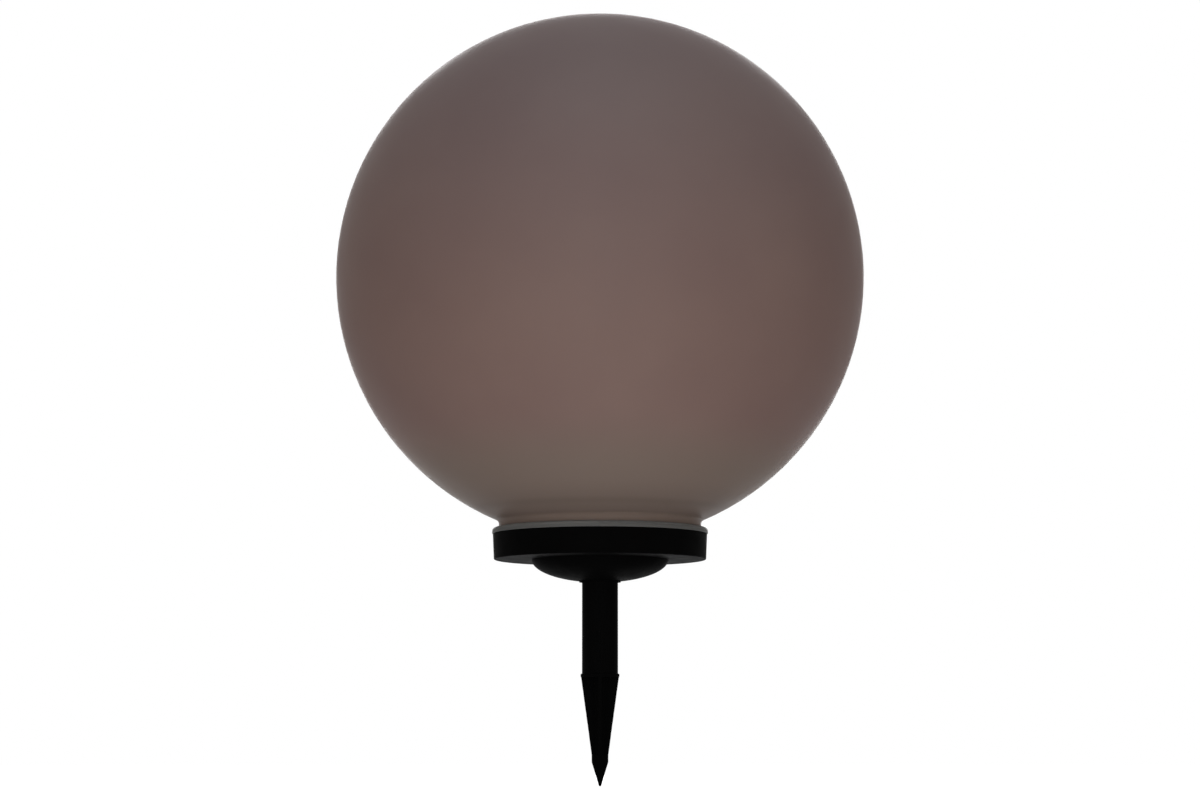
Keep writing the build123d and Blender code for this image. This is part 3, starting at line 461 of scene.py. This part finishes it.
# for each slot, what makes its material, and what that is told: for moulded plastic its name,
# colour, roughness, grain, depth of the grain and specular level
FINISHES = {
    "globe_plastic": (smoke_plastic,),
    "cap_plastic": (moulded, "cap_black", BLACK, 0.55, 0.5 * MM, 0.02 * MM, BLACK_SHEEN),
    "stem_plastic": (extruded,),
    "spike_plastic": (moulded, "spike_black", BLACK, 0.6, 0.4 * MM, 0.03 * MM, BLACK_SHEEN),
    "housing_plastic": (
        moulded, "housing_black", colour(18, 18, 19), 0.5, 0.5 * MM, 0.02 * MM, 0.3,
    ),
    "black_rubber": (rubber,),
    "screw_steel": (plated, "zinc", colour(186, 188, 186)),
    "white_plastic": (
        moulded, "white_plastic", colour(224, 224, 218), 0.45, 0.6 * MM, 0.01 * MM, 0.4,
    ),
    "white_board": (moulded, "white_mask", colour(236, 236, 231), 0.3, 0.8 * MM, 0.01 * MM, 0.5),
    "led_chip": (phosphor,),
    "frosted_plastic": (frosted,),
    "green_board": (green_board,),
    "panel_board": (solar_board,),
    "solar_cell": (solar_cell,),
    "black_component": (moulded, "epoxy", colour(30, 30, 32), 0.55, 0.2 * MM, 0.02 * MM, 0.4),
    "ferrite_winding": (wound_core,),
    "capacitor_can": (capacitor,),
    "foam_tape": (foam,),
    "battery_sleeve": (battery,),
    "contact_metal": (plated, "nickel", colour(196, 194, 186)),
    "knob_plastic": (moulded, "knob_black", colour(30, 30, 30), 0.5, 0.3 * MM, 0.02 * MM, 0.2),
    "wire_red": (insulation, "red_lead", colour(152, 28, 24)),
    "wire_black": (insulation, "black_lead", colour(26, 26, 26)),
}


def dress_nodes():
    """Gives each of the part's own pieces the material of its slot, and returns them all."""
    made = {slot: make(*details) for slot, (make, *details) in FINISHES.items()}
    for subpart in frame["record"]["subparts"]:
        node = frame["nodes"][subpart["node"]]
        node.data.materials.clear()
        node.data.materials.append(made[subpart["material_slot"]])
    return made


# ---------------------------------------------------------------- drawing with meshes


def add_piece(name, shape, material):
    """Turns a drawn shape into a piece of the head, with a slot's finish."""
    bmesh.ops.recalc_face_normals(shape, faces=shape.faces)
    mesh = bpy.data.meshes.new(name)
    shape.to_mesh(mesh)
    shape.free()
    mesh.materials.append(material)
    piece = bpy.data.objects.new(name, mesh)
    bpy.context.collection.objects.link(piece)
    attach(piece, "head")
    return piece


def loose_parts(node):
    """The low and high corners of each separate solid in a node, in a fixed order."""
    same_place = 0.001 * MM
    decimals = 5
    shape = bmesh.new()
    shape.from_mesh(frame["nodes"][node].data)
    bmesh.ops.remove_doubles(shape, verts=shape.verts, dist=same_place)
    left = set(shape.verts)
    boxes = []
    for start in shape.verts:
        if start not in left:
            continue
        left.discard(start)
        reached = [start]
        for vert in reached:
            for edge in vert.link_edges:
                other = edge.other_vert(vert)
                if other in left:
                    left.discard(other)
                    reached.append(other)
        low, high = (
            Vector([limit(vert.co[axis] for vert in reached) for axis in range(3)])
            for limit in (min, max)
        )
        boxes.append((low, high))
    shape.free()
    return sorted(boxes, key=lambda box: [round(x, decimals) for corner in box for x in corner])


def add_slab(shape, low, high, bevel):
    """Adds a block between two corners, with its edges rounded."""
    middle = (Vector(low) + Vector(high)) / 2
    size = Vector(high) - Vector(low)
    made = bmesh.ops.create_cube(shape, size=1.0, matrix=Matrix.LocRotScale(middle, None, size))
    edges = dict.fromkeys(edge for vert in made["verts"] for edge in vert.link_edges)
    bmesh.ops.bevel(shape, geom=list(edges), offset=bevel, segments=2, affect="EDGES")


def upon(point, direction):
    """A place at a point whose own Z runs along a direction."""
    turn = Vector(direction).to_track_quat("Z", "Y")
    return Matrix.LocRotScale(Vector(point), turn, None)


def round_point(radius, angle, height):
    return Vector((radius * math.cos(angle), radius * math.sin(angle), height))


def add_round(shape, outline, place):
    """Adds a round form: an outline of (radius, height) points, turned about a place's Z."""
    steps = 20
    rings = []
    for radius, height in outline:
        count = steps if radius else 1
        rings.append([
            shape.verts.new(place @ round_point(radius, FULL_TURN * i / count, height))
            for i in range(count)
        ])
    for lower, upper in zip(rings, rings[1:]):
        for i in range(steps):
            j = (i + 1) % steps
            around = [
                lower[i % len(lower)], lower[j % len(lower)],
                upper[j % len(upper)], upper[i % len(upper)],
            ]
            shape.faces.new(dict.fromkeys(around))


def add_dome(shape, radius, height, place):
    """Adds a shallow bump that stands on a surface, its foot a hair inside it."""
    sunk = 0.05 * MM
    steps = 5
    step = math.pi / 2 / steps
    arc = [(radius * math.cos(step * i), height * math.sin(step * i)) for i in range(steps)]
    add_round(shape, [(0, -sunk), (radius, -sunk), *arc, (0, height)], place)


def add_wire(shape, path, radius):
    """Adds a round wire along a path of points, closed at both ends."""
    sides = 8
    turns = [FULL_TURN * k / sides for k in range(sides)]
    rings = []
    side = None
    for i, point in enumerate(path):
        ahead = (path[min(i + 1, len(path) - 1)] - path[max(i - 1, 0)]).normalized()
        side = ahead.orthogonal() if side is None else side - ahead * side.dot(ahead)
        side.normalize()
        up = ahead.cross(side)
        rings.append([
            shape.verts.new(point + radius * (math.cos(t) * side + math.sin(t) * up)) for t in turns
        ])
    for lower, upper in zip(rings, rings[1:]):
        for k in range(sides):
            shape.faces.new((lower[k - 1], lower[k], upper[k], upper[k - 1]))
    shape.faces.new(rings[0])
    shape.faces.new(rings[-1])


def helix(turns, start_radius, end_radius, start, end, place):
    """Points of a coil that climbs from one height to another, in a place's own frame."""
    steps_a_turn = 24
    count = round(turns * steps_a_turn)
    points = []
    for i in range(count + 1):
        share = i / count
        radius = start_radius + (end_radius - start_radius) * share
        height = start + (end - start) * share
        points.append(place @ round_point(radius, FULL_TURN * turns * share, height))
    return points


# ---------------------------------------------------------------- small pieces of the head


def add_cell_ribbons(side, material):
    """A panel's tinned ribbons: one along each strip of cell, and links from strip to strip."""
    ribbon_width = 1.2 * MM
    ribbon_height = 0.14 * MM
    link_width = 1.8 * MM
    end_gap = 0.8 * MM
    across = 0 if side in ("left", "right") else 1
    along = 1 - across
    shape = bmesh.new()

    def add_ribbon(start, end, face):
        """Adds a ribbon that lies on a face, its foot a little inside it."""
        start.z = face - ribbon_height / 2
        end.z = face + ribbon_height
        add_slab(shape, start, end, ribbon_height / 3)

    strips = loose_parts(f"solar_cells_{side}")
    middles = []
    for low, high in strips:
        middle = (low[across] + high[across]) / 2
        middles.append(middle)
        start, end = low.copy(), high.copy()
        start[across] = middle - ribbon_width / 2
        end[across] = middle + ribbon_width / 2
        start[along] += end_gap
        end[along] -= end_gap
        add_ribbon(start, end, high.z)
    low, high = strips[0]
    middles.sort()
    for i, (first, second) in enumerate(zip(middles, middles[1:])):
        start, end = low.copy(), high.copy()
        start[across], end[across] = first, second
        if i % 2:
            start[along] += end_gap
            end[along] = start[along] + link_width
        else:
            end[along] -= end_gap
            start[along] = end[along] - link_width
        add_ribbon(start, end, high.z)
    add_piece(f"cell_ribbons_{side}", shape, material)


def add_led_lenses(material):
    """The yellow phosphor in each LED package, a shallow bulge on its outer face."""
    lens_radius = 1.15 * MM
    lens_height = 0.28 * MM
    up = 2
    for node in ("led_side_chips", "led_top_chips"):
        shape = bmesh.new()
        for low, high in loose_parts(node):
            middle = (low + high) / 2
            thin = min(range(3), key=lambda axis: high[axis] - low[axis])
            outward = Vector((0, 0, 0))
            outward[thin] = 1.0 if thin == up or middle[thin] > 0 else -1.0
            face = middle + outward * (high[thin] - low[thin]) / 2
            add_dome(shape, lens_radius, lens_height, upon(face, outward))
        add_piece(node.replace("chips", "lenses"), shape, material)


def add_winding(material):
    """The inductor's copper wire, wound turn beside turn between its two flanges."""
    wire_radius = 0.21 * MM
    turn_pitch = 2.05 * wire_radius
    set_in = 0.35 * MM
    low, high = vectors(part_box("storage_inductor"))
    axis = (low + high) / 2
    radius = (high.x - low.x) / 2 - set_in
    bottom = low.z + FLANGE_HEIGHT + wire_radius
    top = high.z - FLANGE_HEIGHT - wire_radius
    turns = (top - bottom) / turn_pitch
    place = Matrix.Translation((axis.x, axis.y, 0))
    shape = bmesh.new()
    add_wire(shape, helix(turns, radius, radius, bottom, top, place), wire_radius)
    add_piece("inductor_wire", shape, material)


def add_contacts(material):
    """The cells' contacts: a plate at each end, with a conical spring at a cell's flat end, a
    dimple at its button end, and solder tags out through the holder's left wall."""
    plate_thickness = 0.4 * MM
    plate_side = 9.0 * MM
    plate_bevel = 0.12 * MM
    spring_wire = 0.25 * MM
    spring_foot = 3.6 * MM
    spring_tip = 2.0 * MM
    spring_turns = 2.5
    dimple_radius = 2.4 * MM
    tag_width = 3.0 * MM
    tag_drop = 2.5 * MM
    tag_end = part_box("battery_contacts")[0][0]
    plate_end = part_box("battery_contacts")[1][0]
    shape = bmesh.new()

    def add_plate(ends, middle, width, height):
        """Adds a thin plate: its two ends along X, its middle, and its width and height."""
        x_low, x_high = sorted(ends)
        half = Vector((0, width, height)) / 2
        start, end = middle - half, middle + half
        start.x, end.x = x_low, x_high
        add_slab(shape, start, end, plate_bevel)

    for node, button_side in (("battery_cell_front", 1), ("battery_cell_rear", -1)):
        low, high = vectors(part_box(node))
        axis = (low + high) / 2
        for side in (-1, 1):
            outer = side * plate_end
            inner = outer - side * plate_thickness
            add_plate((outer, inner), axis, plate_side, plate_side)
            room = abs(inner) - high.x
            place = upon((inner, axis.y, axis.z), (-side, 0, 0))
            if side == button_side:
                add_dome(shape, dimple_radius, room, place)
            else:
                climb = (spring_wire, room - spring_wire)
                coil = helix(spring_turns, spring_foot, spring_tip, *climb, place)
                add_wire(shape, coil, spring_wire)
            if side < 0:
                tag = axis - Vector((0, 0, tag_drop))
                add_plate((tag_end, inner), tag, tag_width, plate_thickness)
    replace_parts(add_piece("cell_contacts", shape, material), "battery_contacts")


def landing(low, high):
    """Where a lead meets the board: the middle of its end that is nearer the stem's axis."""
    point = []
    for start, end in ((low.x, high.x), (low.y, high.y)):
        if end - start < 3 * LEAD_RADIUS:
            point.append((start + end) / 2)
        else:
            near = min(start, end, key=abs)
            point.append(near + math.copysign(LEAD_RADIUS, near))
    return point


def add_board_parts(made):
    """Small parts under the board: resistors with tinned ends, and the leads' solder joints."""
    body = Vector((2.0, 1.25, 0.55)) * MM
    cap_length = 0.4 * MM
    cap_height = 0.04 * MM
    bevel = 0.06 * MM
    joint_radius = 1.3 * MM
    joint_height = 0.9 * MM
    places = [
        (-17.5, -4.0), (-17.5, -7.0), (-17.5, -10.0), (-17.5, -13.0), (-9.0, -16.5),
        (-4.0, -17.5), (1.5, -5.5), (1.5, -8.5), (8.0, 4.0), (8.0, 7.0),
    ]
    board_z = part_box("control_board")[0][2]
    bodies, ends, joints = bmesh.new(), bmesh.new(), bmesh.new()
    for x, y in places:
        middle = Vector((x * MM, y * MM, board_z - body.z / 2))
        add_slab(bodies, middle - body / 2, middle + body / 2, bevel)
        for side in (-1, 1):
            centre = middle + Vector((side * (body.x - cap_length) / 2, 0, 0))
            half = Vector((cap_length, body.y, body.z)) / 2 + Vector((cap_height,) * 3)
            high = centre + half
            high.z = board_z
            add_slab(ends, centre - half, high, bevel)
    for low, high in loose_parts("panel_wires") + loose_parts("led_wires"):
        place = upon((*landing(low, high), board_z), (0, 0, -1))
        add_dome(joints, joint_radius, joint_height, place)
    add_piece("resistors", bodies, made["black_component"])
    add_piece("resistor_ends", ends, made["contact_metal"])
    add_piece("solder_joints", joints, made["contact_metal"])


def add_details(made):
    """The small modelled pieces that ride in the head."""
    for side in ("right", "rear", "left", "front"):
        add_cell_ribbons(side, made["contact_metal"])
    add_led_lenses(made["led_chip"])
    add_winding(made["ferrite_winding"])
    add_contacts(made["contact_metal"])
    add_board_parts(made)


# ---------------------------------------------------------------- stage and light

WHITE = (1, 1, 1, 1)


def seen_rays(tree):
    """1 for rays that should see the white background: camera, mirrored and passed ones."""
    path = tree.nodes.new("ShaderNodeLightPath")
    total = path.outputs["Is Camera Ray"]
    for ray in ("Is Glossy Ray", "Is Transmission Ray"):
        most = tree.nodes.new("ShaderNodeMath")
        most.operation = "MAXIMUM"
        tree.links.new(total, most.inputs[0])
        tree.links.new(path.outputs[ray], most.inputs[1])
        total = most.outputs[0]
    return total


def light_world():
    """Dim white light from all round, and full white where the background shows."""
    ambient = 0.3
    world = bpy.data.worlds.new("world")
    bpy.context.scene.world = world
    world.use_nodes = True
    tree = world.node_tree
    background = tree.nodes["Background"]
    strength = tree.nodes.new("ShaderNodeMapRange")
    strength.inputs["To Min"].default_value = ambient
    strength.inputs["To Max"].default_value = 1.0
    tree.links.new(seen_rays(tree), strength.inputs["Value"])
    tree.links.new(strength.outputs[0], background.inputs["Strength"])
    background.inputs["Color"].default_value = WHITE


def add_floor():
    """A pale floor at the height of the spike's tip. It shows white, and keeps soft shadows."""
    half_width = 15.0
    pale_grey = (0.8, 0.8, 0.8, 1)
    glow = 0.8
    floor_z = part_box("ground_spike")[0][2]
    signs = ((-1, -1), (1, -1), (1, 1), (-1, 1))
    corners = [(x * half_width, y * half_width, floor_z) for x, y in signs]
    mesh = bpy.data.meshes.new("floor")
    mesh.from_pydata(corners, [], [(0, 1, 2, 3)])
    floor = bpy.data.objects.new("floor", mesh)
    bpy.context.collection.objects.link(floor)

    material = bpy.data.materials.new("floor_white")
    material.use_nodes = True
    tree = material.node_tree
    shader = tree.nodes["Principled BSDF"]
    shader.inputs["Base Color"].default_value = pale_grey
    shader.inputs["Roughness"].default_value = 0.9
    shader.inputs["Specular IOR Level"].default_value = 0.0
    shader.inputs["Emission Color"].default_value = WHITE
    strength = tree.nodes.new("ShaderNodeMath")
    strength.operation = "MULTIPLY"
    strength.inputs[1].default_value = glow
    tree.links.new(seen_rays(tree), strength.inputs[0])
    tree.links.new(strength.outputs[0], shader.inputs["Emission Strength"])
    mesh.materials.append(material)


def add_lamp(name, place, target, size, watts, tint, spread):
    """A soft panel of light that points at a target. A grid narrows its spread, in degrees."""
    data = bpy.data.lights.new(name, "AREA")
    data.shape = "RECTANGLE"
    data.size, data.size_y = size
    data.energy = watts
    data.color = tint
    data.spread = math.radians(spread)
    lamp = bpy.data.objects.new(name, data)
    lamp.location = place
    lamp.rotation_mode = "QUATERNION"
    lamp.rotation_quaternion = (Vector(target) - Vector(place)).to_track_quat("-Z", "Y")
    lamp.visible_camera = False
    bpy.context.collection.objects.link(lamp)


def add_lamps():
    """A cool panel over the ball, a gridded strip and a soft fill in front, one large panel
    behind, and warm ones low on both sides."""
    white = (1, 1, 1)
    warm = (1.0, 0.75, 0.55)
    cool = (0.65, 0.83, 1.0)
    cool_fill = (0.68, 0.82, 1.0)
    cool_strip = (0.6, 0.9, 1.0)
    open_panel, gridded = 180, 6
    low, high = vectors(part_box("globe"))
    ball = (low + high) / 2
    lamps = [
        ("top", (0, -0.8, 2.2), ball, (1.5, 1.0), 20.5, cool, open_panel),
        ("front_strip", (0, -2.4, 0.45), ball, (0.05, 1.6), 0.045, cool_strip, gridded),
        ("front_fill", (0, -1.4, 0.05), ball, (2.2, 0.2), 5.4, cool_fill, open_panel),
        ("back", (0, 2.4, 0.9), ball, (1.6, 1.6), 35.0, white, open_panel),
    ]
    for end, side in (("left", -1), ("right", 1)):
        place, target = (side * 0.7, -0.9, -0.02), (0, 0, 0.3)
        lamps.append((f"low_{end}", place, target, (0.8, 0.25), 1.2, warm, open_panel))
        place, target = (side * 0.45, -0.75, -0.07), (side * 0.1, 0, 0.22)
        lamps.append((f"under_{end}", place, target, (0.5, 0.12), 1.0, warm, open_panel))
    for lamp in lamps:
        add_lamp(*lamp)


# ---------------------------------------------------------------- the scene

add_camera()
add_details(dress_nodes())
light_world()
add_floor()
add_lamps()

bpy.context.scene.view_settings.view_transform = "Standard"
